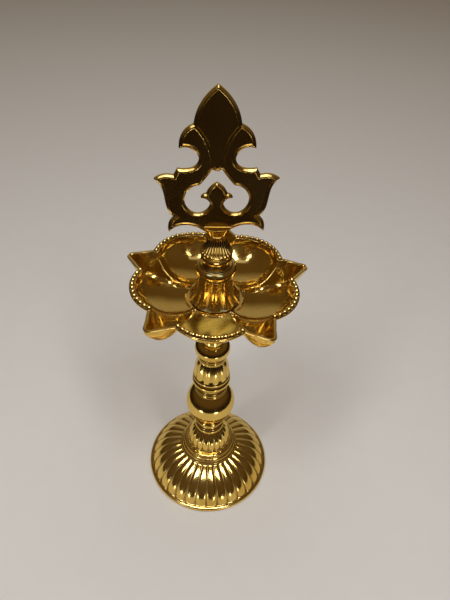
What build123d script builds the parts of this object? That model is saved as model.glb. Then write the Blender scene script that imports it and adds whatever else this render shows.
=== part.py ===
"""Standing oil lamp (samai) in cast brass, 305 mm tall.

The lamp stands on Z = 0 with its axis on Z, and -Y is its front. It is a stack of castings screwed
together on studs: a gadrooned foot, a turned column, a bowl with five oil cups and five wick spouts,
and a finial that carries a pierced plate. Lengths are in millimetres.
"""

import os
from math import cos, pi, radians, sin, sqrt

from build123d import *

os.makedirs("parts", exist_ok=True)

# Levels of the joints between the castings
FOOT_TOP = 31.0
BELL_TOP = 57.0
BALL_TOP = 97.0
VASE_TOP = 125.6
BULB_TOP = 170.5
SEAL_THICKNESS = 1.5
BOWL_SEAT = BULB_TOP + SEAL_THICKNESS
BOWL_BOSS_TOP = 179.0
GASKET_THICKNESS = 1.0
COLUMN_SEAT = BOWL_BOSS_TOP + GASKET_THICKNESS
COLUMN_TOP = 204.2
FINIAL_TOP = 222.6
LAMP_HEIGHT = 305.0

# Studs and the bores they turn or sit in
STUD_R = 4.0
SMALL_STUD_R = 3.0
PLATE_STUD_R = 1.8
BORE_CLEARANCE = 0.05
BORE_R = STUD_R + BORE_CLEARANCE
SMALL_BORE_R = SMALL_STUD_R + BORE_CLEARANCE
PLATE_BORE_R = PLATE_STUD_R + BORE_CLEARANCE
STUD_CHAMFER = 0.6

# Foot
FOOT_R = 47.3
FLANGE_TOP = 2.8
DOME_R = 44.9
DOME_TOP_R = 21.8
DOME_TOP = 22.8
DOME_HOLLOW_R = 42.2
BOSS_R = 9.0
BOSS_BOTTOM = 20.0
FOOT_GADROONS = 32

# Foot fastening
WASHER_R = 8.0
WASHER_THICKNESS = 1.6
NUT_ACROSS_FLATS = 13.0
NUT_THICKNESS = 6.5

# Stem
BALL_R = 17.5
BALL_CENTRE = 77.2
BELL_FLUTES = 20
VASE_FLUTES = 12

# Bowl
LOBES = 5
BOWL_TURN = -2.26
RIM = 192.0
LOBE_CENTRE = 24.3
CUP_R = 22.7
CUP_DEPTH = 16.0
WALL = 1.3
BRIM_R = 26.3
BRIM_THICKNESS = 1.4
BEAD_CIRCLE_R = 24.5
BEAD_R = 1.15
BEADS = 12
BEAD_HALF_ANGLE = 44.5
BOWL_BOSS_R = 13.0
WEB_R = 17.6
WEB_TOP = 177.8
WEB_THICKNESS = 1.7

# Column above the bowl, and finial
COLUMN_RIBS = 10
FINIAL_FLUTES = 24

# Plate
PLATE_TURN = 3.8
PLATE_LEAN = 1.1
PLATE_SHIFT = -0.6
PLATE_THICKNESS = 3.6
PANEL_DEPTH = 0.9
PLATE_RIM = 1.7
OPENING_RIM = 1.3
RIDGE_WIDTH = 1.5
PLATE_BEVEL = 1.0


def cusped_section(half_width, depth):
    """Outline of the valley between two rounded ribs: a sharp bottom under two rounded shoulders."""
    with BuildLine() as outline:
        Line((-half_width, 0), (-half_width, -1))
        Line((-half_width, -1), (half_width, -1))
        Line((half_width, -1), (half_width, 0))
        ThreePointArc((half_width, 0), (half_width / 2, depth / 4), (0, depth))
        ThreePointArc((0, depth), (-half_width / 2, depth / 4), (-half_width, 0))
    return outline.line


def hollow_section(half_width, depth):
    """Outline of a concave flute: a round-bottomed channel."""
    with BuildLine() as outline:
        Line((-half_width, 0), (-half_width, -1))
        Line((-half_width, -1), (half_width, -1))
        Line((half_width, -1), (half_width, 0))
        ThreePointArc((half_width, 0), (0, depth), (-half_width, 0))
    return outline.line


def flute(meridian, section, start, end, stations=4):
    """A cutter that follows a meridian, from (half width, depth) start to (half width, depth) end."""
    with BuildPart() as cutter:
        for i in range(stations):
            t = i / (stations - 1)
            half_width = start[0] + (end[0] - start[0]) * t
            depth = start[1] + (end[1] - start[1]) * t
            place = Plane(origin=meridian @ t, x_dir=(0, 1, 0), z_dir=meridian % t)
            with BuildSketch(place):
                add(section(half_width, depth))
                make_face()
        loft()
    return cutter.part


def meridian_arc(start, middle, end):
    """An arc in the XZ plane through three (radius, height) points."""
    points = [(r, 0, z) for r, z in (start, middle, end)]
    return Edge.make_three_point_arc(*points)


def stud(radius, bottom, top):
    """A plain round stud on the lamp's axis with chamfered ends."""
    with BuildPart() as rod:
        with BuildSketch(Plane.XY.offset(bottom)):
            Circle(radius)
        extrude(amount=top - bottom)
        chamfer(rod.edges().filter_by(GeomType.CIRCLE), STUD_CHAMFER)
    return rod


def washer(radius, hole_radius, bottom, thickness):
    """A flat ring on the lamp's axis."""
    with BuildPart() as ring:
        with BuildSketch(Plane.XY.offset(bottom)):
            Circle(radius)
            Circle(hole_radius, mode=Mode.SUBTRACT)
        extrude(amount=thickness)
    return ring


def save(piece, name):
    """Label a finished piece and write its file."""
    piece.part.label = name
    export_step(piece.part, f"parts/{name}.step")


# --- Foot: hollow gadrooned dome with a stepped collar and a boss for the stud ---
DOME_MIDDLE = (37.2, 15.0)
dome_meridian = meridian_arc((DOME_R, FLANGE_TOP + 0.6), DOME_MIDDLE, (DOME_TOP_R - 0.6, DOME_TOP + 0.15))
foot_groove = flute(dome_meridian, cusped_section, (4.2, 1.3), (2.05, 0.7), stations=6)

with BuildPart() as foot_dome:
    with BuildSketch(Plane.XZ):
        with BuildLine():
            Polyline((FOOT_R - 2.6, 0), (FOOT_R, 0), (FOOT_R, FLANGE_TOP - 1.8))
            ThreePointArc(
                (FOOT_R, FLANGE_TOP - 1.8), (FOOT_R - 0.53, FLANGE_TOP - 0.53), (FOOT_R - 1.8, FLANGE_TOP)
            )
            Line((FOOT_R - 1.8, FLANGE_TOP), (DOME_R, FLANGE_TOP))
            ThreePointArc((DOME_R, FLANGE_TOP), DOME_MIDDLE, (DOME_TOP_R, DOME_TOP))
            Polyline(
                (DOME_TOP_R, DOME_TOP),
                (DOME_TOP_R, 24.6),
                (20.9, 25.3),
                (20.6, 25.3),
                (20.6, 27.0),
                (19.7, 27.8),
                (19.3, 27.8),
                (19.3, 30.2),
                (18.5, FOOT_TOP),
                (BORE_R, FOOT_TOP),
                (BORE_R, BOSS_BOTTOM),
                (BOSS_R, BOSS_BOTTOM),
                (BOSS_R, 27.0),
                (15.5, 27.0),
                (18.0, 20.5),
            )
            ThreePointArc((18.0, 20.5), (34.0, 12.6), (DOME_HOLLOW_R, 2.0))
            Line((DOME_HOLLOW_R, 2.0), (FOOT_R - 2.6, 0))
        make_face()
    revolve(axis=Axis.Z)
    with PolarLocations(0, FOOT_GADROONS):
        add(foot_groove, mode=Mode.SUBTRACT)
save(foot_dome, "foot_dome")

# --- Foot fastening: the foot stud is held from below by a washer and a nut ---
WASHER_BOTTOM = BOSS_BOTTOM - WASHER_THICKNESS
NUT_BOTTOM = WASHER_BOTTOM - NUT_THICKNESS
FOOT_STUD_BOTTOM = NUT_BOTTOM - 2.0
FOOT_STUD_TOP = 41.5

foot_stud = stud(STUD_R, FOOT_STUD_BOTTOM, FOOT_STUD_TOP)
save(foot_stud, "foot_stud")

foot_washer = washer(WASHER_R, BORE_R + 0.2, WASHER_BOTTOM, WASHER_THICKNESS)
save(foot_washer, "foot_washer")

with BuildPart() as foot_nut:
    with BuildSketch(Plane.XY.offset(NUT_BOTTOM)):
        RegularPolygon(NUT_ACROSS_FLATS / 2, 6, major_radius=False)
        Circle(BORE_R, mode=Mode.SUBTRACT)
    extrude(amount=NUT_THICKNESS)
save(foot_nut, "foot_nut")

# --- Pedestal bell: a small fluted dome with a torus above it ---
PEDESTAL_STUD_BOTTOM = 45.0
PEDESTAL_STUD_TOP = 67.0
bell_meridian = meridian_arc((16.0, 32.9), (14.3, 40.0), (9.6, 46.2))
bell_groove = flute(bell_meridian, cusped_section, (2.3, 0.9), (1.4, 0.5))

with BuildPart() as pedestal_bell:
    with BuildSketch(Plane.XZ):
        with BuildLine():
            Polyline((BORE_R, FOOT_TOP), (16.6, FOOT_TOP), (16.6, 32.0), (16.1, 32.5))
            ThreePointArc((16.1, 32.5), (14.4, 40.0), (9.5, 46.4))
            Line((9.5, 46.4), (9.5, 47.2))
            ThreePointArc((9.5, 47.2), (10.9, 49.3), (9.5, 51.4))
            ThreePointArc((9.5, 51.4), (8.8, 52.2), (8.6, 54.0))
            Polyline(
                (8.6, 54.0),
                (8.6, BELL_TOP),
                (BORE_R, BELL_TOP),
                (BORE_R, PEDESTAL_STUD_BOTTOM - 0.5),
                (0, PEDESTAL_STUD_BOTTOM - 0.5),
                (0, FOOT_STUD_TOP + 1.0),
                (BORE_R, FOOT_STUD_TOP + 1.0),
                (BORE_R, FOOT_TOP),
            )
        make_face()
    revolve(axis=Axis.Z)
    with PolarLocations(0, BELL_FLUTES):
        add(bell_groove, mode=Mode.SUBTRACT)
save(pedestal_bell, "pedestal_bell")

pedestal_stud = stud(STUD_R, PEDESTAL_STUD_BOTTOM, PEDESTAL_STUD_TOP)
save(pedestal_stud, "pedestal_stud")

# --- Stem ball between two sets of rings ---
BALL_STUD_BOTTOM = 87.0
BALL_STUD_TOP = 107.0
BALL_NECK_R = 8.9
BALL_SHOULDER_R = 11.0
ball_bottom = BALL_CENTRE - sqrt(BALL_R**2 - BALL_NECK_R**2)
ball_shoulder = BALL_CENTRE + sqrt(BALL_R**2 - BALL_SHOULDER_R**2)

with BuildPart() as stem_ball:
    with BuildSketch(Plane.XZ):
        with BuildLine():
            Line((BORE_R, BELL_TOP), (10.6, BELL_TOP))
            ThreePointArc((10.6, BELL_TOP), (11.6, 58.4), (10.6, 59.8))
            Polyline((10.6, 59.8), (BALL_NECK_R, 60.3), (BALL_NECK_R, ball_bottom))
            ThreePointArc((BALL_NECK_R, ball_bottom), (BALL_R, BALL_CENTRE), (BALL_SHOULDER_R, ball_shoulder))
            ThreePointArc((BALL_SHOULDER_R, ball_shoulder), (11.6, 91.6), (10.7, 92.4))
            ThreePointArc((10.7, 92.4), (11.2, 93.4), (10.4, 94.4))
            Polyline(
                (10.4, 94.4),
                (9.5, 95.2),
                (9.5, BALL_TOP),
                (BORE_R, BALL_TOP),
                (BORE_R, BALL_STUD_BOTTOM - 0.5),
                (0, BALL_STUD_BOTTOM - 0.5),
                (0, PEDESTAL_STUD_TOP + 0.5),
                (BORE_R, PEDESTAL_STUD_TOP + 0.5),
                (BORE_R, BELL_TOP),
            )
        make_face()
    revolve(axis=Axis.Z)
save(stem_ball, "stem_ball")

ball_stud = stud(STUD_R, BALL_STUD_BOTTOM, BALL_STUD_TOP)
save(ball_stud, "ball_stud")

# --- Stem vase: two rings under a fluted, waisted vase ---
VASE_STUD_BOTTOM = 115.0
VASE_STUD_TOP = 136.0
vase_meridian = meridian_arc((12.15, 109.6), (11.2, 117.0), (9.35, 122.9))
vase_groove = flute(vase_meridian, hollow_section, (2.75, 0.75), (2.0, 0.5))

with BuildPart() as stem_vase:
    with BuildSketch(Plane.XZ):
        with BuildLine():
            Polyline((BORE_R, BALL_TOP), (9.8, BALL_TOP), (9.8, 98.4), (11.2, 99.2))
            ThreePointArc((11.2, 99.2), (13.3, 102.0), (11.9, 104.8))
            ThreePointArc((11.9, 104.8), (12.9, 106.5), (12.2, 108.2))
            Line((12.2, 108.2), (12.2, 109.0))
            ThreePointArc((12.2, 109.0), (11.2, 117.0), (9.1, 123.6))
            ThreePointArc((9.1, 123.6), (9.5, 124.7), (9.1, VASE_TOP))
            Polyline(
                (9.1, VASE_TOP),
                (SMALL_BORE_R, VASE_TOP),
                (SMALL_BORE_R, VASE_STUD_BOTTOM - 0.5),
                (0, VASE_STUD_BOTTOM - 0.5),
                (0, BALL_STUD_TOP + 0.5),
                (BORE_R, BALL_STUD_TOP + 0.5),
                (BORE_R, BALL_TOP),
            )
        make_face()
    revolve(axis=Axis.Z)
    with PolarLocations(0, VASE_FLUTES):
        add(vase_groove, mode=Mode.SUBTRACT)
save(stem_vase, "stem_vase")

vase_stud = stud(SMALL_STUD_R, VASE_STUD_BOTTOM, VASE_STUD_TOP)
save(vase_stud, "vase_stud")

# --- Stem bulb: an oblate bulb that carries the bowl on a trumpet and a seat disc ---
BOWL_STUD_BOTTOM = 157.0
BOWL_STUD_TOP = 191.0

with BuildPart() as stem_bulb:
    with BuildSketch(Plane.XZ):
        with BuildLine():
            Line((SMALL_BORE_R, VASE_TOP), (9.0, VASE_TOP))
            ThreePointArc((9.0, VASE_TOP), (9.8, 126.6), (9.2, 127.6))
            ThreePointArc((9.2, 127.6), (11.8, 132.6), (8.4, 139.6))
            Polyline((8.4, 139.6), (7.2, 140.1), (7.2, 141.0))
            ThreePointArc((7.2, 141.0), (7.3, 155.0), (11.6, 166.0))
            ThreePointArc((11.6, 166.0), (13.2, 167.6), (12.6, 169.4))
            Polyline(
                (12.6, 169.4),
                (12.0, BULB_TOP),
                (BORE_R, BULB_TOP),
                (BORE_R, BOWL_STUD_BOTTOM - 0.5),
                (0, BOWL_STUD_BOTTOM - 0.5),
                (0, VASE_STUD_TOP + 0.5),
                (SMALL_BORE_R, VASE_STUD_TOP + 0.5),
                (SMALL_BORE_R, VASE_TOP),
            )
        make_face()
    revolve(axis=Axis.Z)
save(stem_bulb, "stem_bulb")

bowl_stud = stud(STUD_R, BOWL_STUD_BOTTOM, BOWL_STUD_TOP)
save(bowl_stud, "bowl_stud")

bowl_seal = washer(11.0, BORE_R + 0.2, BULB_TOP, SEAL_THICKNESS)
save(bowl_seal, "bowl_seal")


# --- Oil bowl: five round cups with a beaded brim, and five pointed wick spouts between them ---
def cup_solid(radius, depth, top):
    """Half an ellipsoid below the rim and a cylinder above it, about the first lobe's upright axis."""
    quarter = [i * pi / 8 for i in range(5)]
    with BuildPart() as cup:
        with BuildSketch(Plane.XZ.shift_origin((LOBE_CENTRE, 0, 0))):
            with BuildLine():
                Polyline((0, RIM - depth), (0, top), (radius, top), (radius, RIM))
                Spline(
                    *[(radius * sin(a), RIM - depth * cos(a)) for a in quarter],
                    tangents=[(1, 0), (0, 1)],
                )
            make_face()
        revolve(axis=Axis((LOBE_CENTRE, 0, 0), (0, 0, 1)))
    return cup.part


# Wick spout, station by station: distance from the axis, half width at the rim, height of the keel
SPOUT_STATIONS = (
    (18.0, 2.0, 177.7),
    (30.0, 7.2, 177.2),
    (38.0, 10.2, 177.2),
    (44.0, 9.4, 177.7),
    (49.0, 6.0, 180.6),
    (53.4, 2.9, 185.6),
    (56.4, 0.7, 190.0),
)


def boat_solid(skin, top):
    """A pointed boat hull along +X, thickened by skin all round and carried up to top."""
    with BuildPart() as boat:
        for along, half_width, keel in SPOUT_STATIONS:
            wide = half_width + skin
            deep = keel - skin
            middle = (RIM + deep) / 2
            with BuildSketch(Plane.YZ.offset(along + skin)):
                with BuildLine():
                    Spline((-wide, RIM), (-0.62 * wide, middle), (0, deep), (0.62 * wide, middle), (wide, RIM))
                    Polyline((wide, RIM), (wide, top), (-wide, top), (-wide, RIM))
                make_face()
        loft()
    return boat.part


ABOVE_RIM = 1.5
cup_skin = cup_solid(CUP_R + WALL, CUP_DEPTH + WALL, RIM + ABOVE_RIM)
cup_hollow = cup_solid(CUP_R, CUP_DEPTH, RIM + 2 * ABOVE_RIM)
boat_skin = boat_solid(WALL, RIM + ABOVE_RIM)
boat_hollow = boat_solid(0, RIM + 2 * ABOVE_RIM)
FIRST_LOBE = BOWL_TURN - 90
FIRST_SPOUT = FIRST_LOBE + 180 / LOBES
BOSS_ROOT = BOWL_SEAT + 3.5

with BuildPart() as oil_bowl:
    with PolarLocations(0, LOBES, start_angle=FIRST_LOBE):
        add(cup_skin)
    with PolarLocations(0, LOBES, start_angle=FIRST_SPOUT):
        add(boat_skin)
    split(bisect_by=Plane.XY.offset(RIM), keep=Keep.BOTTOM)
    with BuildSketch(Plane.XY.offset(RIM - BRIM_THICKNESS)):
        with PolarLocations(LOBE_CENTRE, LOBES, start_angle=FIRST_LOBE):
            Circle(BRIM_R)
    extrude(amount=BRIM_THICKNESS)
    with BuildSketch(Plane.XY.offset(BOWL_SEAT)):
        Circle(12.0)
    extrude(amount=BOWL_BOSS_TOP - BOWL_SEAT)
    with PolarLocations(0, LOBES, start_angle=FIRST_LOBE):
        add(cup_hollow, mode=Mode.SUBTRACT)
    with PolarLocations(0, LOBES, start_angle=FIRST_SPOUT):
        add(boat_hollow, mode=Mode.SUBTRACT)
    with BuildSketch(Plane.XY.offset(WEB_TOP)):
        Circle(BOWL_BOSS_R + 4)
    extrude(amount=RIM, mode=Mode.SUBTRACT)
    with BuildSketch(Plane.XY.offset(WEB_TOP - WEB_THICKNESS)):
        Circle(WEB_R)
    extrude(amount=WEB_THICKNESS)
    with BuildSketch(Plane.XY.offset(BOSS_ROOT)):
        Circle(BOWL_BOSS_R)
    extrude(amount=BOWL_BOSS_TOP - BOSS_ROOT)
    with BuildSketch(Plane.XY.offset(BOWL_SEAT)):
        Circle(BORE_R + 0.2)
    extrude(amount=BOWL_BOSS_TOP, mode=Mode.SUBTRACT)
    bead_angles = [BEAD_HALF_ANGLE * (2 * i / (BEADS - 1) - 1) for i in range(BEADS)]
    bead_places = [
        (LOBE_CENTRE + BEAD_CIRCLE_R * cos(radians(a)), BEAD_CIRCLE_R * sin(radians(a)), RIM) for a in bead_angles
    ]
    with PolarLocations(0, LOBES, start_angle=FIRST_LOBE):
        with Locations(*bead_places):
            Sphere(BEAD_R)
save(oil_bowl, "oil_bowl")

column_gasket = washer(11.0, BORE_R + 0.2, BOWL_BOSS_TOP, GASKET_THICKNESS)
save(column_gasket, "column_gasket")

# --- Bowl column: a ribbed, flared column that clamps the bowl, with a collar at its top ---
FINIAL_STUD_BOTTOM = 194.5
FINIAL_STUD_TOP = 215.0
column_meridian = meridian_arc((15.0, 179.2), (11.7, 185.5), (11.0, 196.0))
column_groove = flute(column_meridian, hollow_section, (4.1, 1.3), (3.0, 1.0), stations=5)

with BuildPart() as bowl_column:
    with BuildSketch(Plane.XZ):
        with BuildLine():
            Polyline((BORE_R, COLUMN_SEAT), (13.4, COLUMN_SEAT), (15.1, 178.2), (15.6, 178.4))
            ThreePointArc((15.6, 178.4), (11.7, 185.5), (11.0, 196.8))
            Line((11.0, 196.8), (10.5, 197.3))
            ThreePointArc((10.5, 197.3), (11.95, 200.3), (9.6, 203.2))
            Polyline(
                (9.6, 203.2),
                (9.2, COLUMN_TOP),
                (SMALL_BORE_R, COLUMN_TOP),
                (SMALL_BORE_R, FINIAL_STUD_BOTTOM - 0.5),
                (0, FINIAL_STUD_BOTTOM - 0.5),
                (0, BOWL_STUD_TOP + 1.0),
                (BORE_R, BOWL_STUD_TOP + 1.0),
                (BORE_R, COLUMN_SEAT),
            )
        make_face()
    revolve(axis=Axis.Z)
    with PolarLocations(0, COLUMN_RIBS):
        add(column_groove, mode=Mode.SUBTRACT)
save(bowl_column, "bowl_column")

finial_stud = stud(SMALL_STUD_R, FINIAL_STUD_BOTTOM, FINIAL_STUD_TOP)
save(finial_stud, "finial_stud")

# --- Finial bulb: a gadrooned pear on a ring, with a socket for the plate's stud ---
PLATE_STUD_BOTTOM = 217.5
PLATE_STUD_TOP = 226.0
finial_meridian = meridian_arc((8.95, 213.4), (6.35, 216.5), (5.0, 221.0))
finial_groove = flute(finial_meridian, cusped_section, (1.1, 0.55), (0.6, 0.3), stations=6)

with BuildPart() as finial_bulb:
    with BuildSketch(Plane.XZ):
        with BuildLine():
            Polyline((SMALL_BORE_R, COLUMN_TOP), (7.6, COLUMN_TOP), (7.6, 207.4))
            ThreePointArc((7.6, 207.4), (9.1, 209.1), (8.2, 210.8))
            Line((8.2, 210.8), (8.2, 211.3))
            ThreePointArc((8.2, 211.3), (9.4, 212.4), (8.9, 213.6))
            ThreePointArc((8.9, 213.6), (6.3, 216.6), (4.95, 221.4))
            Polyline(
                (4.95, 221.4),
                (4.9, FINIAL_TOP),
                (PLATE_BORE_R, FINIAL_TOP),
                (PLATE_BORE_R, PLATE_STUD_BOTTOM - 0.5),
                (0, PLATE_STUD_BOTTOM - 0.5),
                (0, FINIAL_STUD_TOP + 0.8),
                (SMALL_BORE_R, FINIAL_STUD_TOP + 0.8),
                (SMALL_BORE_R, COLUMN_TOP),
            )
        make_face()
    revolve(axis=Axis.Z)
    with PolarLocations(0, FINIAL_FLUTES):
        add(finial_groove, mode=Mode.SUBTRACT)
save(finial_bulb, "finial_bulb")

with BuildPart() as plate_stud:
    with BuildSketch(Plane.XY.offset(PLATE_STUD_BOTTOM)):
        Circle(PLATE_STUD_R)
    extrude(amount=PLATE_STUD_TOP - PLATE_STUD_BOTTOM)
    chamfer(plate_stud.edges().filter_by(GeomType.CIRCLE), 0.4)
save(plate_stud, "plate_stud")

# --- Plate: a pierced, recessed plate in its own plane, with u to the right and v up from its foot ---
turn = radians(PLATE_TURN)
lean = radians(PLATE_LEAN)
level = Vector(cos(turn), sin(turn), 0)
plate_u = level * cos(lean) + Vector(0, 0, 1) * sin(lean)
plate_normal = Vector(sin(turn), -cos(turn), 0)
plate_foot = Vector(0, 0, FINIAL_TOP) + level * PLATE_SHIFT
plate_plane = Plane(origin=plate_foot, x_dir=plate_u, z_dir=plate_normal)
TIP = LAMP_HEIGHT - FINIAL_TOP


def right_outline():
    """The right half of the plate's outer edge, from the tip down to the neck."""
    with BuildLine() as edge:
        Spline((0, TIP), (5.8, 77.0), (8.9, 72.2), (11.5, 63.9))
        Spline((11.5, 63.9), (15.2, 61.6), (18.2, 56.6), (18.8, 51.6))
        Spline((18.8, 51.6), (15.6, 52.3), (10.2, 49.2), (9.2, 46.2), (10.4, 42.9), (15.0, 40.8), (19.9, 41.1))
        Line((19.9, 41.1), (21.9, 37.4))
        Spline((21.9, 37.4), (26.8, 37.8), (32.0, 35.4))
        Spline((32.0, 35.4), (28.3, 30.4), (26.6, 20.9), (22.7, 12.9))
        Spline((22.7, 12.9), (25.6, 8.8), (25.7, 3.3))
        Spline((25.7, 3.3), (17.1, 7.6), (9.2, 5.4), (4.2, 0.8))
        Line((4.2, 0.8), (0, 0.8))
    return edge.line


def right_opening():
    """The right half of the pierced opening's edge, round a three-pointed bud."""
    with BuildLine() as edge:
        Line((0, 39.3), (2.4, 40.5))
        Spline((2.4, 40.5), (5.2, 36.3), (9.0, 31.6))
        Spline((9.0, 31.6), (13.9, 29.6), (16.9, 23.4), (14.9, 17.4), (10.2, 14.8), (5.6, 16.6), (3.5, 20.9))
        Spline((3.5, 20.9), (5.3, 23.3), (8.4, 24.2))
        Spline((8.4, 24.2), (7.2, 26.2), (5.4, 26.9))
        Spline((5.4, 26.9), (3.9, 29.8), (0, 33.1))
    return edge.line


def right_ridge():
    """The right-hand raised line between the leaf and the petal beside it."""
    with BuildLine() as edge:
        Spline((10.9, 63.2), (6.6, 57.4), (3.3, 49.1), (2.1, 40.0))
    return edge.line


def symmetric_face(half):
    """The flat face inside a right-hand outline and its mirror image."""
    with BuildSketch() as face:
        with BuildLine():
            add(half)
            mirror(about=Plane.YZ)
        make_face()
    return face.sketch


def symmetric_band(half, width):
    """A band of even width, centred on a right-hand line and on its mirror image."""
    with BuildSketch() as band:
        with BuildLine() as lines:
            add(half)
            mirror(about=Plane.YZ)
        trace(lines.line, line_width=width)
    return band.sketch


silhouette = symmetric_face(right_outline())
opening = symmetric_face(right_opening())

with BuildSketch() as panels:
    add(silhouette)
    add(opening, mode=Mode.SUBTRACT)
    add(symmetric_band(right_outline(), 2 * PLATE_RIM), mode=Mode.SUBTRACT)
    add(symmetric_band(right_opening(), 2 * OPENING_RIM), mode=Mode.SUBTRACT)
    add(symmetric_band(right_ridge(), RIDGE_WIDTH), mode=Mode.SUBTRACT)

# The calyx that holds the plate, from a round foot to a wider oval head: height, half width, half depth
NECK_SECTIONS = ((FINIAL_TOP, 4.6, 4.6), (225.6, 5.7, 4.9), (229.0, 7.7, 5.2))

with BuildPart() as neck:
    for height, half_width, half_thickness in NECK_SECTIONS:
        with BuildSketch(Plane(origin=(0, 0, height), x_dir=level, z_dir=(0, 0, 1))):
            Ellipse(half_width, half_thickness)
    loft()

with BuildPart() as prabhavali_plate:
    with BuildSketch(plate_plane):
        add(silhouette)
        add(opening, mode=Mode.SUBTRACT)
    extrude(amount=PLATE_THICKNESS / 2, both=True)
    chamfer(prabhavali_plate.faces().filter_by(plate_plane).edges(), PLATE_BEVEL)
    for side in (1, -1):
        with BuildSketch(plate_plane.offset(side * PLATE_THICKNESS / 2)):
            add(panels.sketch)
        extrude(amount=-side * PANEL_DEPTH, mode=Mode.SUBTRACT)
    add(neck.part)
    with BuildSketch(Plane.XY.offset(FINIAL_TOP)):
        Circle(PLATE_BORE_R)
    extrude(amount=PLATE_STUD_TOP + 0.5 - FINIAL_TOP, mode=Mode.SUBTRACT)
save(prabhavali_plate, "prabhavali_plate")
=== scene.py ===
"""Standing oil lamp (samai) in cast, polished brass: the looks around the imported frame.

Outlines are in millimetres, as (radius, height above the piece's own foot); the finished meshes are
in metres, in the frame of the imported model.
"""

from math import atan2, cos, pi, radians, sin, sqrt

import bmesh
import bpy
import numpy as np
from mathutils import Matrix, Vector


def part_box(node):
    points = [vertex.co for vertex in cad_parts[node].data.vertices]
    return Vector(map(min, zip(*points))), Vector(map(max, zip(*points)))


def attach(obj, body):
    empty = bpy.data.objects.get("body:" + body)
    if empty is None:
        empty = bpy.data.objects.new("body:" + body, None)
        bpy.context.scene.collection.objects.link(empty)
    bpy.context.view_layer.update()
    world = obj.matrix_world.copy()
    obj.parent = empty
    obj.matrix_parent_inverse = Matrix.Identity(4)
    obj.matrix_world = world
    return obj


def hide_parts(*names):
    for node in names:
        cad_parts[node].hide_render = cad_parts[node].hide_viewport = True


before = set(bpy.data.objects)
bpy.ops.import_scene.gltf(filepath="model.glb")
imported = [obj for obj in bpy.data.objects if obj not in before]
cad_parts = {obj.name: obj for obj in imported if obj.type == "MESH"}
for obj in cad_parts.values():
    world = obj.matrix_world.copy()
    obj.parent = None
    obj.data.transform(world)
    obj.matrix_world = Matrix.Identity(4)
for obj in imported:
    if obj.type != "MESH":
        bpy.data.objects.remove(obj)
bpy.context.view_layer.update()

MM = 0.001
CLEAR = 0.05  # between a stud and its bore, mm


def foot_of(node):
    """The height of a node's lowest point, mm."""
    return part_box(node)[0].z / MM


def top_of(node):
    """The height of a node's highest point, mm."""
    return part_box(node)[1].z / MM


def radius_of(node):
    """The largest half width of a node along X, mm."""
    low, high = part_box(node)
    return (high.x - low.x) / 2 / MM


STUD_R = radius_of("foot_stud")
BORE_R = STUD_R + CLEAR
SMALL_STUD_R = radius_of("finial_stud")
SMALL_BORE_R = SMALL_STUD_R + CLEAR


# --- Turned outlines ---
OUTLINE_STEP = 0.22  # mm between points before the arrises are softened
GROOVE_REACH = 60  # passes that smooth the grooves away, to tell how deep they are
GROOVE_SHADE = 0.8  # what a run marked as a groove adds to the groove depths, mm; painted shade, with tarnishing, darkens by these depths
GROOVE_SHARE = 1.8  # how much darker a groove is painted than a valley between ribs, as shade with tarnishing


def line_points(start, end):
    """Evenly spaced points after start, up to end."""
    count = max(1, round(float(np.hypot(end[0] - start[0], end[1] - start[1])) / OUTLINE_STEP))
    first, step = np.array(start), (np.array(end) - np.array(start)) / count
    return [tuple(first + step * i) for i in range(1, count + 1)]


def arc_points(start, through, end):
    """Evenly spaced points after start on the arc through a middle point to end."""
    (ax, ay), (bx, by), (cx, cy) = start, through, end
    d = 2 * (ax * (by - cy) + bx * (cy - ay) + cx * (ay - by))
    a2, b2, c2 = ax * ax + ay * ay, bx * bx + by * by, cx * cx + cy * cy
    ox = (a2 * (by - cy) + b2 * (cy - ay) + c2 * (ay - by)) / d
    oy = (a2 * (cx - bx) + b2 * (ax - cx) + c2 * (bx - ax)) / d
    radius = float(np.hypot(ax - ox, ay - oy))
    first, middle, last = (atan2(y - oy, x - ox) for x, y in (start, through, end))
    sweep = (last - first) % (2 * pi)
    if (middle - first) % (2 * pi) > sweep:
        sweep -= 2 * pi
    count = max(2, round(abs(sweep) * radius / OUTLINE_STEP))
    angles = [first + sweep * i / count for i in range(1, count + 1)]
    return [(ox + radius * cos(a), oy + radius * sin(a)) for a in angles]


def blur(values, passes):
    """A closed run of values, each moved towards its neighbours."""
    for _ in range(passes):
        values = (np.roll(values, 1, 0) + 2 * values + np.roll(values, -1, 0)) / 4
    return values


def outline(runs, softness, fade):
    """Points, outward directions, rib weights and groove depths of a closed outline.

    A run is a point to go straight to, or (point passed through, end point) for an arc. A third item
    "ribs" says that the run carries ribs, which fade out at both ends, and "groove" that the run is darkened
    with painted shade and tarnishing.
    """
    points, weights, darkening = [runs[0]], [0.0], [0.0]
    for run in runs[1:] + [runs[0]]:
        if isinstance(run[0], tuple):
            new = arc_points(points[-1], run[0], run[1])
        else:
            new = line_points(points[-1], run[:2])
        points += new
        weights += [float("ribs" in run)] * len(new)
        darkening += [float("groove" in run)] * len(new)
    points = blur(np.array(points[:-1]), softness)
    weights = blur(np.array(weights[:-1]), fade)
    along = np.roll(points, -1, 0) - np.roll(points, 1, 0)
    along /= np.linalg.norm(along, axis=1)[:, None]
    outward = np.stack([along[:, 1], -along[:, 0]], 1)
    # How far each point is sunk below its smoothed neighbours, plus the marked groove runs: depths that
    # darken the brass as painted shade with tarnishing.
    sunk = np.clip(blur(points[:, 0], GROOVE_REACH) - points[:, 0], 0, None)
    grooves = sunk + GROOVE_SHADE * blur(np.array(darkening[:-1]), 2)
    keep = thinned(points, along)
    return points[keep], outward[keep], weights[keep], grooves[keep]


def thinned(points, along, widest=0.9, most_turn=radians(6)):
    """The numbers of the points that the shape needs."""
    keep, turned, gone = [0], 0.0, 0.0
    for i in range(1, len(points)):
        gone += float(np.linalg.norm(points[i] - points[i - 1]))
        turned += abs(float(np.cross(along[i - 1], along[i])))
        if gone > widest or turned > most_turn:
            keep.append(i)
            turned, gone = 0.0, 0.0
    return keep


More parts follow.
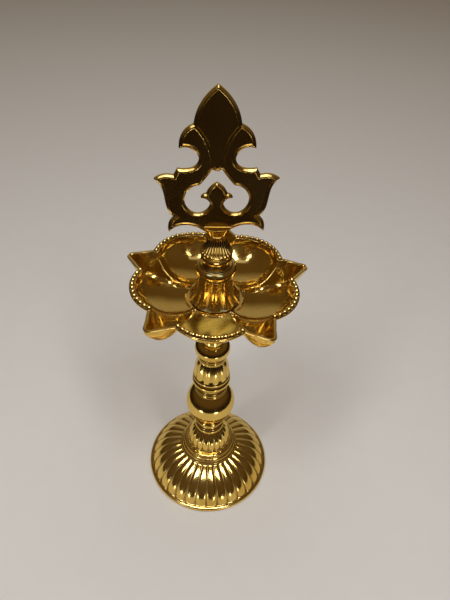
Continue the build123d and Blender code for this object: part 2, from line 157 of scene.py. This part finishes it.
# --- Ribs and flutes, as depths in shares of their pitch ---
def across(angle, count):
    """Where an angle lies across its rib: 0 at a crest, -1 and 1 at the two valleys."""
    return (angle * count / (2 * pi)) % 1 * 2 - 1


def gadroons(count, depth):
    """Rounded ribs with sharp valleys between them."""

    def relief(angle, radius, weight):
        hollow = 1 - np.sqrt(1 - (0.97 * across(angle, count)) ** 2)
        return -hollow / (1 - sqrt(1 - 0.97**2)) * depth * 2 * pi * radius / count * weight

    return relief


def waves(count, depth):
    """Ribs with round crests and round valleys."""

    def relief(angle, radius, weight):
        return -(1 - np.cos(pi * across(angle, count))) / 2 * depth * 2 * pi * radius / count * weight

    return relief


def flutes(count, depth, land=0.16):
    """Round-bottomed flutes with a narrow rounded land between them."""

    def relief(angle, radius, weight):
        share = np.clip((1 - np.abs(across(angle, count))) / (1 - land), 0, 1)
        return -(1 - share**2) * depth * 2 * pi * radius / count * weight

    return relief


# --- Meshes ---
def mark_recess(mesh, recess):
    """Store how deep each point lies, for the painted shade and tarnishing that darken it there."""
    values = recess.astype(np.float32).ravel()
    mesh.attributes.new("recess", "FLOAT", "POINT").data.foreach_set("value", values)


def grid_mesh(name, places, recess, wrap_rows):
    """A smooth mesh of rows of points, each row closed on itself, and the rows too if they wrap."""
    rows, columns = places.shape[:2]
    last = rows if wrap_rows else rows - 1
    i, j = np.meshgrid(np.arange(last), np.arange(columns), indexing="ij")
    i2, j2 = (i + 1) % rows, (j + 1) % columns
    corners = [i * columns + j, i * columns + j2, i2 * columns + j2, i2 * columns + j]
    quads = np.stack(corners, -1).reshape(-1, 4)
    mesh = bpy.data.meshes.new(name)
    mesh.from_pydata((places * MM).reshape(-1, 3).tolist(), [], quads.tolist())
    mark_recess(mesh, recess)
    mesh.shade_smooth()
    piece = bpy.data.objects.new(name, mesh)
    bpy.context.scene.collection.objects.link(piece)
    return piece


def turned(name, runs, foot, segments, relief=None, plan=None, softness=3, fade=5):
    """A turned piece: its outline swept round the axis, ribbed by relief and shaped in plan by plan."""
    points, outward, weights, grooves = outline(runs, softness, fade)
    angle = np.arange(segments)[None, :] * 2 * pi / segments
    radius, height = points[:, 0:1] + 0 * angle, points[:, 1:2] + 0 * angle
    recess = np.zeros_like(radius)
    if relief is not None:
        recess = relief(angle, points[:, 0:1], weights[:, None])
        radius = radius + outward[:, 0:1] * recess
        height = height + outward[:, 1:2] * recess
    if plan is not None:
        radius = plan(angle, radius, height)
    places = np.stack([radius * np.cos(angle), radius * np.sin(angle), height + foot], -1)
    # The relief's depth and the groove depths darken the brass there: painted shade, with tarnishing.
    return grid_mesh(name, places, np.abs(recess) + GROOVE_SHARE * grooves[:, None], True)


def place(piece, body, material, slot, *nodes):
    """Put a finished piece on its body in place of its CAD nodes."""
    piece.data.materials.clear()
    piece.data.materials.append(material)
    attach(piece, body)
    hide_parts(*nodes)
    return piece


def rounded_casting(name, node, voxel, passes, filled=None):
    """A copy of a CAD node's shape with every arris rounded, as casting and polishing leave it.

    filled adds metal to the copy before it is rounded.
    """
    piece = bpy.data.objects.new(name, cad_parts[node].data.copy())
    bpy.context.scene.collection.objects.link(piece)
    if filled is not None:
        filled(piece.data)
    remesh = piece.modifiers.new("even_skin", "REMESH")
    remesh.mode = "VOXEL"
    remesh.voxel_size = voxel * MM
    smooth = piece.modifiers.new("soften", "SMOOTH")
    smooth.factor = 0.5
    smooth.iterations = passes
    even = bpy.data.meshes.new_from_object(piece.evaluated_get(bpy.context.evaluated_depsgraph_get()))
    piece.modifiers.clear()
    piece.data = even
    even.shade_smooth()
    return piece


# --- Materials ---
def node(tree, kind, settings=None, **inputs):
    """A shader node with settings and inputs; an input that is a socket is linked."""
    made = tree.nodes.new(kind)
    for name, value in (settings or {}).items():
        setattr(made, name, value)
    for name, value in inputs.items():
        socket = made.inputs[name.replace("_", " ")]
        if isinstance(value, bpy.types.NodeSocket):
            tree.links.new(value, socket)
        else:
            socket.default_value = value
    return made


def blank(name):
    """A new node material with its Principled shader and its object coordinates."""
    material = bpy.data.materials.new(name)
    material.use_nodes = True
    tree = material.node_tree
    shader = tree.nodes["Principled BSDF"]
    place_on = node(tree, "ShaderNodeTexCoord").outputs["Object"]
    return material, tree, shader, place_on


def stretched(tree, place_on, scale):
    """Object coordinates stretched by a scale along each axis."""
    return node(tree, "ShaderNodeMapping", Vector=place_on, Scale=scale).outputs["Vector"]


def noise(tree, place_on, scale, detail=4.0, roughness=0.55, distortion=0.0):
    """Grey noise, with scale in features per metre."""
    made = node(tree, "ShaderNodeTexNoise", Vector=place_on, Scale=scale, Detail=detail)
    made.inputs["Roughness"].default_value = roughness
    made.inputs["Distortion"].default_value = distortion
    return made.outputs["Fac"]


def span(tree, value, low, high, to_low=0.0, to_high=1.0):
    """A value mapped from one range to another and clamped."""
    made = node(tree, "ShaderNodeMapRange", {"interpolation_type": "SMOOTHSTEP"}, Value=value)
    for name, number in (("From Min", low), ("From Max", high), ("To Min", to_low), ("To Max", to_high)):
        made.inputs[name].default_value = number
    return made.outputs["Result"]


def blended(tree, factor, first, second):
    """Two colours blended by a factor."""
    made = node(tree, "ShaderNodeMix", {"data_type": "RGBA"})
    tree.links.new(factor, made.inputs[0])
    for socket, colour in ((made.inputs[6], first), (made.inputs[7], second)):
        if isinstance(colour, bpy.types.NodeSocket):
            tree.links.new(colour, socket)
        else:
            socket.default_value = (*colour, 1)
    return made.outputs[2]


def combined(tree, operation, first, second):
    """Two numbers or sockets combined by a math node."""
    made = node(tree, "ShaderNodeMath", {"operation": operation, "use_clamp": True})
    for socket, value in zip(made.inputs, (first, second)):
        if isinstance(value, bpy.types.NodeSocket):
            tree.links.new(value, socket)
        else:
            socket.default_value = value
    return made.outputs[0]


def bumped(tree, height, distance, strength=1.0, under=None):
    """A bump of a height pattern, on top of another one."""
    made = node(tree, "ShaderNodeBump", Height=height, Distance=distance, Strength=strength)
    if under is not None:
        tree.links.new(under, made.inputs["Normal"])
    return made.outputs["Normal"]


BRIGHT = (0.80, 0.58, 0.20)
DEEP = (0.70, 0.47, 0.13)
TARNISH_AND_SHADE = (0.13, 0.07, 0.022)


def brass(name, bright=BRIGHT, deep=DEEP, tarnish_and_shade=TARNISH_AND_SHADE, shine=0.14, dull=0.36, darkening=0.16, turning=1.0):
    """Hand-polished cast brass: mirror bright on its crests, brown in old patches, and darkened in its
    valleys and creases by tarnishing and painted shade.

    shine and dull are the roughness of clean brass and what tarnishing and painted shade at their fullest add
    to it, darkening is the share of the old patches, and turning is the depth of the lathe's lines.
    """
    material, tree, shader, place_on = blank(name)
    drift = noise(tree, place_on, 38.0, 3.0)
    colour = blended(tree, span(tree, drift, 0.35, 0.68), bright, deep)
    patches = span(tree, noise(tree, place_on, 85.0, 6.0, 0.62, 0.8), 0.60, 0.82)
    specks = span(tree, noise(tree, place_on, 900.0, 3.0, 0.7), 0.66, 0.80)
    # Painted shade, with tarnishing: the recess depths and the concave creases (low pointiness) darken the
    # brass in its hollows, broken up by noise.
    recess = node(tree, "ShaderNodeAttribute", {"attribute_name": "recess"}).outputs["Fac"]
    edge = node(tree, "ShaderNodeNewGeometry").outputs["Pointiness"]
    valley = combined(tree, "MAXIMUM", span(tree, recess, 0.25, 1.3), span(tree, edge, 0.492, 0.440))
    uneven = span(tree, noise(tree, place_on, 240.0, 4.0), 0.25, 0.62, 0.55, 1.0)
    broken = combined(tree, "MULTIPLY", valley, uneven)
    stained = combined(tree, "MULTIPLY", patches, darkening)
    # Old stained patches and specks, with the painted shade of the hollows added on.
    age_and_shade = combined(tree, "ADD", stained, combined(tree, "MULTIPLY", broken, 0.85))
    age_and_shade = combined(tree, "ADD", age_and_shade, combined(tree, "MULTIPLY", specks, 0.12))
    tree.links.new(blended(tree, age_and_shade, colour, tarnish_and_shade), shader.inputs["Base Color"])
    shader.inputs["Metallic"].default_value = 1.0
    rubbed = noise(tree, stretched(tree, place_on, (1.0, 1.0, 5.0)), 420.0, 5.0, 0.7)
    sheen = span(tree, rubbed, 0.35, 0.75, shine * 0.85, shine * 1.25)
    rough = node(tree, "ShaderNodeMapRange", Value=age_and_shade)
    rough.inputs["To Max"].default_value = dull
    tree.links.new(combined(tree, "ADD", sheen, rough.outputs["Result"]), shader.inputs["Roughness"])
    wave = bumped(tree, noise(tree, place_on, 95.0, 2.0, 0.4), 0.00008)
    lathe_lines = noise(tree, stretched(tree, place_on, (0.15, 0.15, 6.0)), 700.0, 3.0, 0.6)
    lines = bumped(tree, lathe_lines, 0.000006 * turning, 1.0, wave)
    pits = bumped(tree, specks, 0.00002, 0.6, lines)
    tree.links.new(pits, shader.inputs["Normal"])
    return material


def leather(name):
    """Oiled brown leather for the washers."""
    material, tree, shader, place_on = blank(name)
    mottled = noise(tree, place_on, 260.0, 5.0)
    hide = blended(tree, mottled, (0.10, 0.045, 0.018), (0.20, 0.10, 0.045))
    tree.links.new(hide, shader.inputs["Base Color"])
    grain = node(tree, "ShaderNodeTexVoronoi", {"feature": "DISTANCE_TO_EDGE"}, Vector=place_on, Scale=1400.0)
    tree.links.new(bumped(tree, grain.outputs["Distance"], 0.0002, 0.7), shader.inputs["Normal"])
    tree.links.new(span(tree, mottled, 0.3, 0.7, 0.45, 0.7), shader.inputs["Roughness"])
    return material


def plated_steel(name):
    """Zinc-plated steel for the nut and its washer: dull, with brushed and stained patches."""
    material, tree, shader, place_on = blank(name)
    cloud = noise(tree, place_on, 210.0, 5.0)
    zinc = blended(tree, cloud, (0.50, 0.49, 0.46), (0.33, 0.31, 0.27))
    tree.links.new(zinc, shader.inputs["Base Color"])
    shader.inputs["Metallic"].default_value = 1.0
    brushed = noise(tree, stretched(tree, place_on, (1.0, 9.0, 1.0)), 900.0, 3.0)
    tree.links.new(span(tree, brushed, 0.3, 0.7, 0.28, 0.5), shader.inputs["Roughness"])
    tree.links.new(bumped(tree, brushed, 0.00002, 0.6), shader.inputs["Normal"])
    return material


CAST_BRASS = brass("polished_brass")
FOOT_BRASS = brass("foot_brass", shine=0.16)
BOWL_BRASS = brass("bowl_brass", shine=0.13, turning=3.0)
PLATE_BRASS = brass("plate_brass", shine=0.15, darkening=0.3)
STUD_BRASS = brass("stud_brass", (0.74, 0.50, 0.17), (0.60, 0.37, 0.10), shine=0.26, darkening=0.8)
LEATHER = leather("oiled_leather")
STEEL = plated_steel("plated_steel")


# --- Foot ---
def build_foot():
    """The gadrooned dome with its flange, stepped collar and hollow."""
    runs = [
        (44.7, 0.0),
        (47.3, 0.0),
        (47.3, 1.0),
        ((46.8, 2.3), (45.5, 2.8)),
        (44.9, 2.8),
        ((37.2, 15.0), (21.8, 22.8), "ribs"),
        (21.8, 24.6),
        (20.9, 25.3),
        (20.6, 25.3),
        (20.6, 27.0),
        (19.7, 27.8),
        (19.3, 27.8),
        (19.3, 30.2),
        (18.5, 31.0),
        (BORE_R, 31.0),
        (BORE_R, 20.0),
        (9.0, 20.0),
        (9.0, 27.0),
        (15.5, 27.0),
        (18.0, 20.5),
        ((34.0, 12.6), (42.2, 2.0)),
    ]
    dome = turned("gadrooned_foot", runs, foot_of("foot_dome"), 32 * 14, gadroons(32, 0.145))
    place(dome, "foot", FOOT_BRASS, "brass", "foot_dome")


def build_nut():
    """The hexagonal nut under the foot, with its corners chamfered."""
    half, high = 6.5, top_of("foot_nut") - foot_of("foot_nut")
    bevel_r, bevel_slope = 6.2, 1.73

    def hexagon(angle, radius, height):
        flat = half / np.cos((angle % (pi / 3)) - pi / 6)
        cone = bevel_r + bevel_slope * np.clip(np.minimum(height, high - height), 0, None)
        side = np.minimum(flat, cone) - (half - radius).clip(0)
        return np.where(radius > BORE_R + 1, side, radius)

    runs = [(BORE_R, 0.0), (half, 0.0), (half, high), (BORE_R, high)]
    nut = turned("foot_nut_hex", runs, foot_of("foot_nut"), 180, plan=hexagon, softness=1)
    place(nut, "foot", STEEL, "nut_steel", "foot_nut")


def build_ring(name, node_name, body, material, slot):
    """A flat washer with rounded edges."""
    low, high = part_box(node_name)
    outer, thick = radius_of(node_name), (high.z - low.z) / MM
    runs = [(BORE_R + 0.2, 0.0), (outer, 0.0), (outer, thick), (BORE_R + 0.2, thick)]
    place(turned(name, runs, foot_of(node_name), 96, softness=2), body, material, slot, node_name)


# --- Studs with screw threads ---
THREAD_PITCH = 1.5
THREAD_DEPTH = 0.55


def build_stud(name, node_name, body):
    """A threaded stud; its thread has the pitch that its joint climbs by."""
    outer = radius_of(node_name)
    low, long = foot_of(node_name), top_of(node_name) - foot_of(node_name)
    rows, segments = int(long / 0.14), 72
    height = np.linspace(0, long, rows)[:, None]
    angle = np.arange(segments)[None, :] * 2 * pi / segments
    phase = (height / THREAD_PITCH - angle / (2 * pi)) % 1
    flank = np.clip(np.abs(2 * phase - 1) * 1.35 - 0.12, 0, 1)
    ends = np.minimum(height, long - height)
    crest = np.minimum(outer, outer - 0.8 + ends)
    radius = np.minimum(crest, outer - THREAD_DEPTH * flank) + 0 * angle
    radius[0], radius[-1] = 0.05, 0.05
    inner = np.stack([radius * np.cos(angle), radius * np.sin(angle), height + low + 0 * angle], -1)
    # The thread's roots are painted darker, as shade with tarnishing, according to how deep they lie.
    stud = grid_mesh(name, inner, np.clip(outer - radius, 0, 1) * 1.6, False)
    place(stud, body, STUD_BRASS, "stud_brass", node_name)


# --- Stem ---
def build_bell():
    """The small gadrooned bell on the collar, with a torus and a neck."""
    runs = [
        (BORE_R, 0.0),
        (16.6, 0.0),
        (16.6, 1.0),
        (16.1, 1.5),
        ((14.4, 9.0), (9.5, 15.4), "ribs"),
        (9.5, 16.2),
        ((10.9, 18.3), (9.5, 20.4)),
        ((8.8, 21.2), (8.6, 23.0)),
        (8.6, 26.0),
        (BORE_R, 26.0),
    ]
    bell = turned("pedestal_bell_ribbed", runs, foot_of("pedestal_bell"), 20 * 16, gadroons(20, 0.185))
    place(bell, "stem", CAST_BRASS, "brass", "pedestal_bell")


def build_ball():
    """The polished ball between its rings."""
    ball_r, centre, neck, shoulder = 17.5, 20.2, 8.9, 11.0
    low = centre - sqrt(ball_r**2 - neck**2)
    high = centre + sqrt(ball_r**2 - shoulder**2)
    runs = [
        (BORE_R, 0.0),
        (10.6, 0.0),
        ((11.6, 1.4), (10.6, 2.8)),
        (neck, 3.3),
        (neck, low),
        ((ball_r, centre), (shoulder, high)),
        ((11.6, 34.6), (10.7, 35.4)),
        ((11.2, 36.4), (10.4, 37.4)),
        (9.5, 38.2),
        (9.5, 40.0),
        (BORE_R, 40.0),
    ]
    ball = turned("stem_ball_polished", runs, foot_of("stem_ball"), 192)
    place(ball, "stem", CAST_BRASS, "brass", "stem_ball")


def build_vase():
    """The two rings and the fluted vase above the ball."""
    runs = [
        (BORE_R, 0.0),
        (9.8, 0.0),
        (9.8, 1.4),
        (11.2, 2.2),
        ((13.3, 5.0), (11.9, 7.8)),
        ((12.9, 9.5), (12.2, 11.2)),
        (12.2, 12.0),
        ((11.2, 20.0), (9.1, 26.6), "ribs"),
        ((9.5, 27.7), (9.1, 28.6)),
        (SMALL_BORE_R, 28.6),
        (SMALL_BORE_R, 20.0),
        (BORE_R, 20.0),
    ]
    vase = turned("stem_vase_fluted", runs, foot_of("stem_vase"), 12 * 20, flutes(12, 0.10, 0.22))
    place(vase, "stem", CAST_BRASS, "brass", "stem_vase")


def build_bulb():
    """The bulb, the waisted trumpet above it and the disc that the bowl sits on."""
    high = top_of("stem_bulb") - foot_of("stem_bulb")
    runs = [
        (SMALL_BORE_R, 0.0),
        (9.0, 0.0),
        ((9.8, 1.0), (9.2, 2.0)),
        ((11.8, 7.0), (8.4, 14.0)),
        (7.2, 14.5),
        (7.2, 15.4),
        ((7.3, 29.4), (11.6, 40.4)),
        ((13.2, 42.0), (12.6, 43.8)),
        (12.0, high),
        (BORE_R, high),
        (BORE_R, 31.0),
        (SMALL_BORE_R, 31.0),
    ]
    bulb = turned("stem_bulb_polished", runs, foot_of("stem_bulb"), 160)
    place(bulb, "stem", CAST_BRASS, "brass", "stem_bulb")


# --- Bowl ---
LOBES = 5
BOWL_TURN = radians(-2.26)
LOBE_CENTRE = 24.3
BEAD_CIRCLE_R = 24.5
BEAD_R = 1.3
BEADS = 12
BEAD_HALF_ANGLE = radians(44.5)
CHANNEL_HALF_WIDTH = 1.25  # of the sunken band that the beads stand in, mm
CHANNEL_DEPTH = 0.65
SPOUT_TIP_R = 18.7
SPOUT_TIP_HIGH = 176.85


def bead_places(rim):
    """The centre of each bead on the brims of the five lobes, mm."""
    for lobe in range(LOBES):
        lobe_angle = BOWL_TURN - pi / 2 + lobe * 2 * pi / LOBES
        for i in range(BEADS):
            angle = lobe_angle + BEAD_HALF_ANGLE * (2 * i / (BEADS - 1) - 1)
            x = LOBE_CENTRE * cos(lobe_angle) + BEAD_CIRCLE_R * cos(angle)
            y = LOBE_CENTRE * sin(lobe_angle) + BEAD_CIRCLE_R * sin(angle)
            yield x, y, rim


def build_bowl():
    """The bowl of five cups and five spouts, and its string of beads."""
    rim = top_of("oil_bowl") - 1.15
    bowl = rounded_casting("oil_bowl_cast", "oil_bowl", 0.28, 4, close_tips)
    sink_channel(bowl.data, rim)
    place(bowl, "bowl", BOWL_BRASS, "brass", "oil_bowl")
    place(bead_dome(rim + 0.25), "bowl", CAST_BRASS, "brass", "oil_bowl")


def close_tips(mesh):
    """Add metal at each spout's inner tip, so that the floors of the cups and spouts meet there."""
    form = bmesh.new()
    form.from_mesh(mesh)
    for lobe in range(LOBES):
        angle = BOWL_TURN - pi / 2 + (lobe + 0.5) * 2 * pi / LOBES
        tip = Vector((SPOUT_TIP_R * cos(angle), SPOUT_TIP_R * sin(angle), SPOUT_TIP_HIGH)) * MM
        bmesh.ops.create_cone(
            form,
            cap_ends=True,
            segments=24,
            radius1=1.5 * MM,
            radius2=1.1 * MM,
            depth=1.5 * MM,
            matrix=Matrix.Translation(tip),
        )
    form.to_mesh(mesh)
    form.free()


def sink_channel(mesh, rim):
    """Sink the band round each lobe that carries the beads, and paint shade round the foot of every bead and,
    lighter, along the band.
    """
    places = np.empty(len(mesh.vertices) * 3)
    mesh.vertices.foreach_get("co", places)
    places = places.reshape(-1, 3)
    x, y, z = places.T / MM
    marks = np.zeros(len(x))
    for lobe in range(LOBES):
        lobe_angle = BOWL_TURN - pi / 2 + lobe * 2 * pi / LOBES
        dx, dy = x - LOBE_CENTRE * cos(lobe_angle), y - LOBE_CENTRE * sin(lobe_angle)
        off_circle = np.abs(np.hypot(dx, dy) - BEAD_CIRCLE_R) / CHANNEL_HALF_WIDTH
        turn = np.abs((np.arctan2(dy, dx) - lobe_angle + pi) % (2 * pi) - pi)
        band = np.clip(1 - off_circle**2, 0, 1) * np.clip((BEAD_HALF_ANGLE + 0.07 - turn) / 0.05, 0, 1)
        marks = np.maximum(marks, band * np.clip((z - rim + 0.6) / 0.4, 0, 1))
    nearest = np.full(len(x), 99.0)
    for bead_x, bead_y, _ in bead_places(rim):
        nearest = np.minimum(nearest, np.hypot(x - bead_x, y - bead_y))
    # Painted shade: a dark ring on the brim round the foot of every bead, and a lighter darkening along the
    # sunk band.
    bead_foot_shade = np.clip((BEAD_R + 0.5 - nearest) / 0.4, 0, 1) * (z > rim - 1.2)
    darkening = 1.8 * bead_foot_shade + 0.3 * marks
    places[:, 2] -= CHANNEL_DEPTH * np.sqrt(marks) * MM
    mesh.vertices.foreach_set("co", places.ravel())
    mark_recess(mesh, darkening)


def bead_dome(rim):
    """All the beads as one mesh: domes that sink into the brim, painted darker on their lower halves as
    shade.
    """
    rings, segments = 9, 20
    level = np.linspace(-0.5, 1, rings) * pi / 2
    angle = np.arange(segments) * 2 * pi / segments
    local = np.stack(
        [
            np.cos(level)[:, None] * np.cos(angle) * BEAD_R,
            np.cos(level)[:, None] * np.sin(angle) * BEAD_R,
            np.sin(level)[:, None] * BEAD_R + 0 * angle,
        ],
        -1,
    ).reshape(-1, 3)
    verts, faces = [], []
    for centre in bead_places(rim):
        base = len(verts)
        verts += ((local + np.array(centre)) * MM).tolist()
        for i in range(rings - 1):
            for j in range(segments):
                k = (j + 1) % segments
                a, b = base + i * segments, base + (i + 1) * segments
                faces.append((a + j, a + k, b + k, b + j))
    mesh = bpy.data.meshes.new("bowl_beads")
    mesh.from_pydata(verts, [], faces)
    # Painted shade: each bead is darker towards its foot, fading out a little above its middle.
    darkening = np.repeat(np.clip(1.2 - 3.0 * np.sin(level), 0, 1.4), segments)
    darkening = np.tile(darkening, LOBES * BEADS)
    mark_recess(mesh, darkening)
    mesh.shade_smooth()
    beads = bpy.data.objects.new("bowl_beads", mesh)
    bpy.context.scene.collection.objects.link(beads)
    return beads


def build_column():
    """The ribbed column that stands in the bowl, with its collar."""
    foot = foot_of("bowl_column")
    seat = 180.0 - foot
    high = top_of("bowl_column") - foot
    runs = [
        (BORE_R, seat),
        (13.4, seat),
        (15.1, 0.0),
        (15.8, 0.5),
        ((11.7, 7.3), (11.0, 18.7), "ribs"),
        (10.4, 19.2, "groove"),
        ((12.0, 22.1), (9.6, 25.0)),
        (9.2, high, "groove"),
        (SMALL_BORE_R, high),
        (SMALL_BORE_R, 15.8),
        (BORE_R, 13.8),
    ]
    column = turned("bowl_column_ribbed", runs, foot, 10 * 28, waves(10, 0.10), fade=30)
    place(column, "bowl", CAST_BRASS, "brass", "bowl_column")


# --- Finial ---
def build_finial():
    """The gadrooned bell under the plate, on its ring."""
    high = top_of("finial_bulb") - foot_of("finial_bulb")
    runs = [
        (SMALL_BORE_R, 0.0),
        (7.5, 0.0),
        (7.5, 2.2, "groove"),
        ((9.1, 4.3), (8.1, 6.4)),
        (7.9, 7.0, "groove"),
        ((9.45, 8.2), (8.95, 9.4)),
        ((6.4, 13.2), (5.45, 20.0), "ribs"),
        (5.3, 20.5),
        (4.7, 20.5),
        (4.3, high),
        (1.85, high),
        (1.85, 12.9),
        (SMALL_BORE_R, 11.6),
    ]
    bell = turned("finial_ribbed_bell", runs, foot_of("finial_bulb"), 24 * 12, gadroons(24, 0.36), fade=3)
    place(bell, "finial", CAST_BRASS, "brass", "finial_bulb")


def build_plate():
    """The pierced plate with its raised rims."""
    plate = rounded_casting("prabhavali_plate_cast", "prabhavali_plate", 0.20, 3)
    place(plate, "finial", PLATE_BRASS, "plate_brass", "prabhavali_plate")


build_foot()
build_nut()
build_ring("foot_washer_ring", "foot_washer", "foot", STEEL, "nut_steel")
build_ring("bowl_seal_leather", "bowl_seal", "stem", LEATHER, "leather")
build_ring("column_gasket_leather", "column_gasket", "bowl", LEATHER, "leather")
build_stud("foot_stud_threaded", "foot_stud", "foot_screw_stud")
build_stud("bowl_stud_threaded", "bowl_stud", "bowl_screw_stud")
build_stud("finial_stud_threaded", "finial_stud", "finial_screw_stud")
build_bell()
build_ball()
build_vase()
build_bulb()
build_bowl()
build_column()
build_finial()
build_plate()
for hidden in ("pedestal_stud", "ball_stud", "vase_stud", "plate_stud"):
    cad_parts[hidden].data.materials.clear()
    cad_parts[hidden].data.materials.append(STUD_BRASS)


# --- Floor, light and camera ---
def flat_disc(name, radius, height, segments=96):
    """A round sheet on the floor."""
    mesh = bpy.data.meshes.new(name)
    angles = [2 * pi * i / segments for i in range(segments)]
    edge = [(radius * cos(a), radius * sin(a), height) for a in angles]
    mesh.from_pydata(edge, [], [tuple(range(segments))])
    disc = bpy.data.objects.new(name, mesh)
    bpy.context.scene.collection.objects.link(disc)
    return disc


def paper(name, colour):
    """Matt paper for the floor."""
    material, tree, shader, place_on = blank(name)
    lighter = tuple(min(1.0, c * 1.04) for c in colour)
    fibres = noise(tree, place_on, 60.0, 4.0)
    tree.links.new(blended(tree, fibres, colour, lighter), shader.inputs["Base Color"])
    shader.inputs["Roughness"].default_value = 0.9
    shader.inputs["Specular IOR Level"].default_value = 0.1
    return material


def softbox(name, place_at, aim, width, height, power, colour=(0.97, 0.98, 1.0)):
    """A rectangular soft light that the camera doesn't see."""
    data = bpy.data.lights.new(name, "AREA")
    data.shape = "RECTANGLE"
    data.size, data.size_y = width, height
    data.energy = power
    data.color = colour
    light = bpy.data.objects.new(name, data)
    light.location = place_at
    light.rotation_mode = "QUATERNION"
    light.rotation_quaternion = (Vector(aim) - Vector(place_at)).to_track_quat("-Z", "Y")
    light.visible_camera = False
    bpy.context.scene.collection.objects.link(light)
    return light


def only_on(light, *names):
    """Let a light fall on the named pieces alone."""
    lit = bpy.data.collections.new(light.name + "_lights")
    for name in names:
        lit.objects.link(bpy.data.objects[name])
    light.light_linking.receiver_collection = lit


def not_on(light, *names):
    """Keep a light off the named pieces."""
    unlit = bpy.data.collections.new(light.name + "_misses")
    for name in names:
        unlit.objects.link(bpy.data.objects[name])
    for held in unlit.collection_objects:
        held.light_linking.link_state = "EXCLUDE"
    light.light_linking.receiver_collection = unlit


def build_floor():
    """A wide pale floor, and a nearer sheet that only the brass mirrors."""
    floor = flat_disc("floor", 6.0, -0.0004)
    floor.data.materials.append(paper("floor_paper", (0.78, 0.76, 0.73)))
    floor.visible_glossy = False
    near = flat_disc("floor_near", 0.24, -0.0002)
    near.data.materials.append(paper("near_paper", (0.85, 0.78, 0.52)))
    near.visible_camera = False
    near.visible_diffuse = False
    near.visible_shadow = False


COLUMN, BELL, PLATE = "bowl_column_ribbed", "finial_ribbed_bell", "prabhavali_plate_cast"
COOL = (0.62, 0.86, 1.45)
WINDOWS = (("left", (-0.27, -0.28, 0.78)), ("right", (0.20, -0.31, 0.78)))


def build_lights():
    """Windows above the front, soft fills, and low cards.

    The column, bell and plate have dimmer and wider windows of their own, because the cups mirror them.
    """
    ceiling = softbox("ceiling", (0.0, 0.15, 1.6), (0, 0.1, 0.0), 1.6, 1.6, 9.0)
    ceiling.visible_glossy = False
    for side, place_at in WINDOWS:
        not_on(softbox("window_" + side, place_at, (0, 0, 0.1), 0.08, 0.34, 1.4), COLUMN, BELL, PLATE)
        wide = (place_at, (0, 0, 0.2), 0.24, 0.34)
        only_on(softbox("column_window_" + side, *wide, 0.34, COOL), COLUMN)
        only_on(softbox("finial_window_" + side, *wide, 0.90), BELL)
        only_on(softbox("plate_window_" + side, *wide, 0.40), PLATE)
    softbox("glow", (0.0, -0.18, 0.95), (0, 0, 0.1), 0.36, 0.30, 0.18)
    card_left = softbox("card_left", (-0.13, -0.19, 0.002), (-0.10, -0.15, 0.05), 0.05, 0.03, 0.045)
    card_right = softbox("card_right", (0.09, -0.20, 0.002), (0.07, -0.16, 0.05), 0.05, 0.03, 0.045)
    for card in (card_left, card_right):
        not_on(card, "floor", "floor_near")
    only_on(softbox("foot_window", (-0.02, -0.25, 0.78), (0, 0, 0.0), 0.34, 0.30, 3.6), "gadrooned_foot")
    only_on(softbox("finial_front", (0.03, -0.50, 0.33), (0, 0, 0.215), 0.26, 0.26, 0.50), BELL)
    only_on(softbox("plate_window", (0.0, -0.30, 0.85), (0, 0, 0.24), 0.30, 0.30, 0.80), PLATE)
    only_on(softbox("bead_window", (0.0, -0.12, 0.80), (0, 0, 0.18), 0.40, 0.40, 2.8), "bowl_beads")


UNDER = (0.020, 0.013, 0.008)
ROOM = (0.105, 0.067, 0.028)
PALE_WALL = (0.34, 0.29, 0.21)


def build_world():
    """A dim warm room with a pale wall behind the lamp."""
    world = bpy.data.worlds.new("room")
    bpy.context.scene.world = world
    world.use_nodes = True
    tree = world.node_tree
    back = tree.nodes["Background"]
    look = node(tree, "ShaderNodeTexCoord").outputs["Generated"]
    height = node(tree, "ShaderNodeSeparateXYZ", Vector=look).outputs["Z"]
    room = blended(tree, span(tree, height, -0.15, 0.35), UNDER, ROOM)
    towards = node(tree, "ShaderNodeVectorMath", {"operation": "DOT_PRODUCT"})
    tree.links.new(look, towards.inputs[0])
    towards.inputs[1].default_value = (0.0, 0.95, 0.31)
    pale_wall = span(tree, towards.outputs["Value"], 0.68, 0.97)
    tree.links.new(blended(tree, pale_wall, room, PALE_WALL), back.inputs["Color"])


FOCAL_SHARE = 0.88347  # focal length over the long side of the frame
SENSOR = 36.0
CAMERA_AT = (0.0, -0.2407, 0.3913)
PITCH, YAW, ROLL = radians(41.892), radians(1.514), radians(3.392)


def build_camera():
    """A camera above the lamp's front, looking down at it and slightly turned about its own axis."""
    data = bpy.data.cameras.new("camera")
    data.sensor_width = SENSOR
    data.lens = FOCAL_SHARE * SENSOR
    forward = Vector((sin(YAW) * cos(PITCH), cos(YAW) * cos(PITCH), -sin(PITCH)))
    right = Vector((cos(YAW), -sin(YAW), 0))
    up = right.cross(forward)
    rolled_right = right * cos(ROLL) + up * sin(ROLL)
    rolled_up = up * cos(ROLL) - right * sin(ROLL)
    camera = bpy.data.objects.new("camera", data)
    axes = Matrix((rolled_right, rolled_up, -forward)).transposed().to_4x4()
    camera.matrix_world = Matrix.Translation(CAMERA_AT) @ axes
    bpy.context.scene.collection.objects.link(camera)
    bpy.context.scene.camera = camera


build_floor()
build_lights()
build_world()
build_camera()
bpy.context.scene.view_settings.view_transform = "Standard"

bpy.context.view_layer.update()
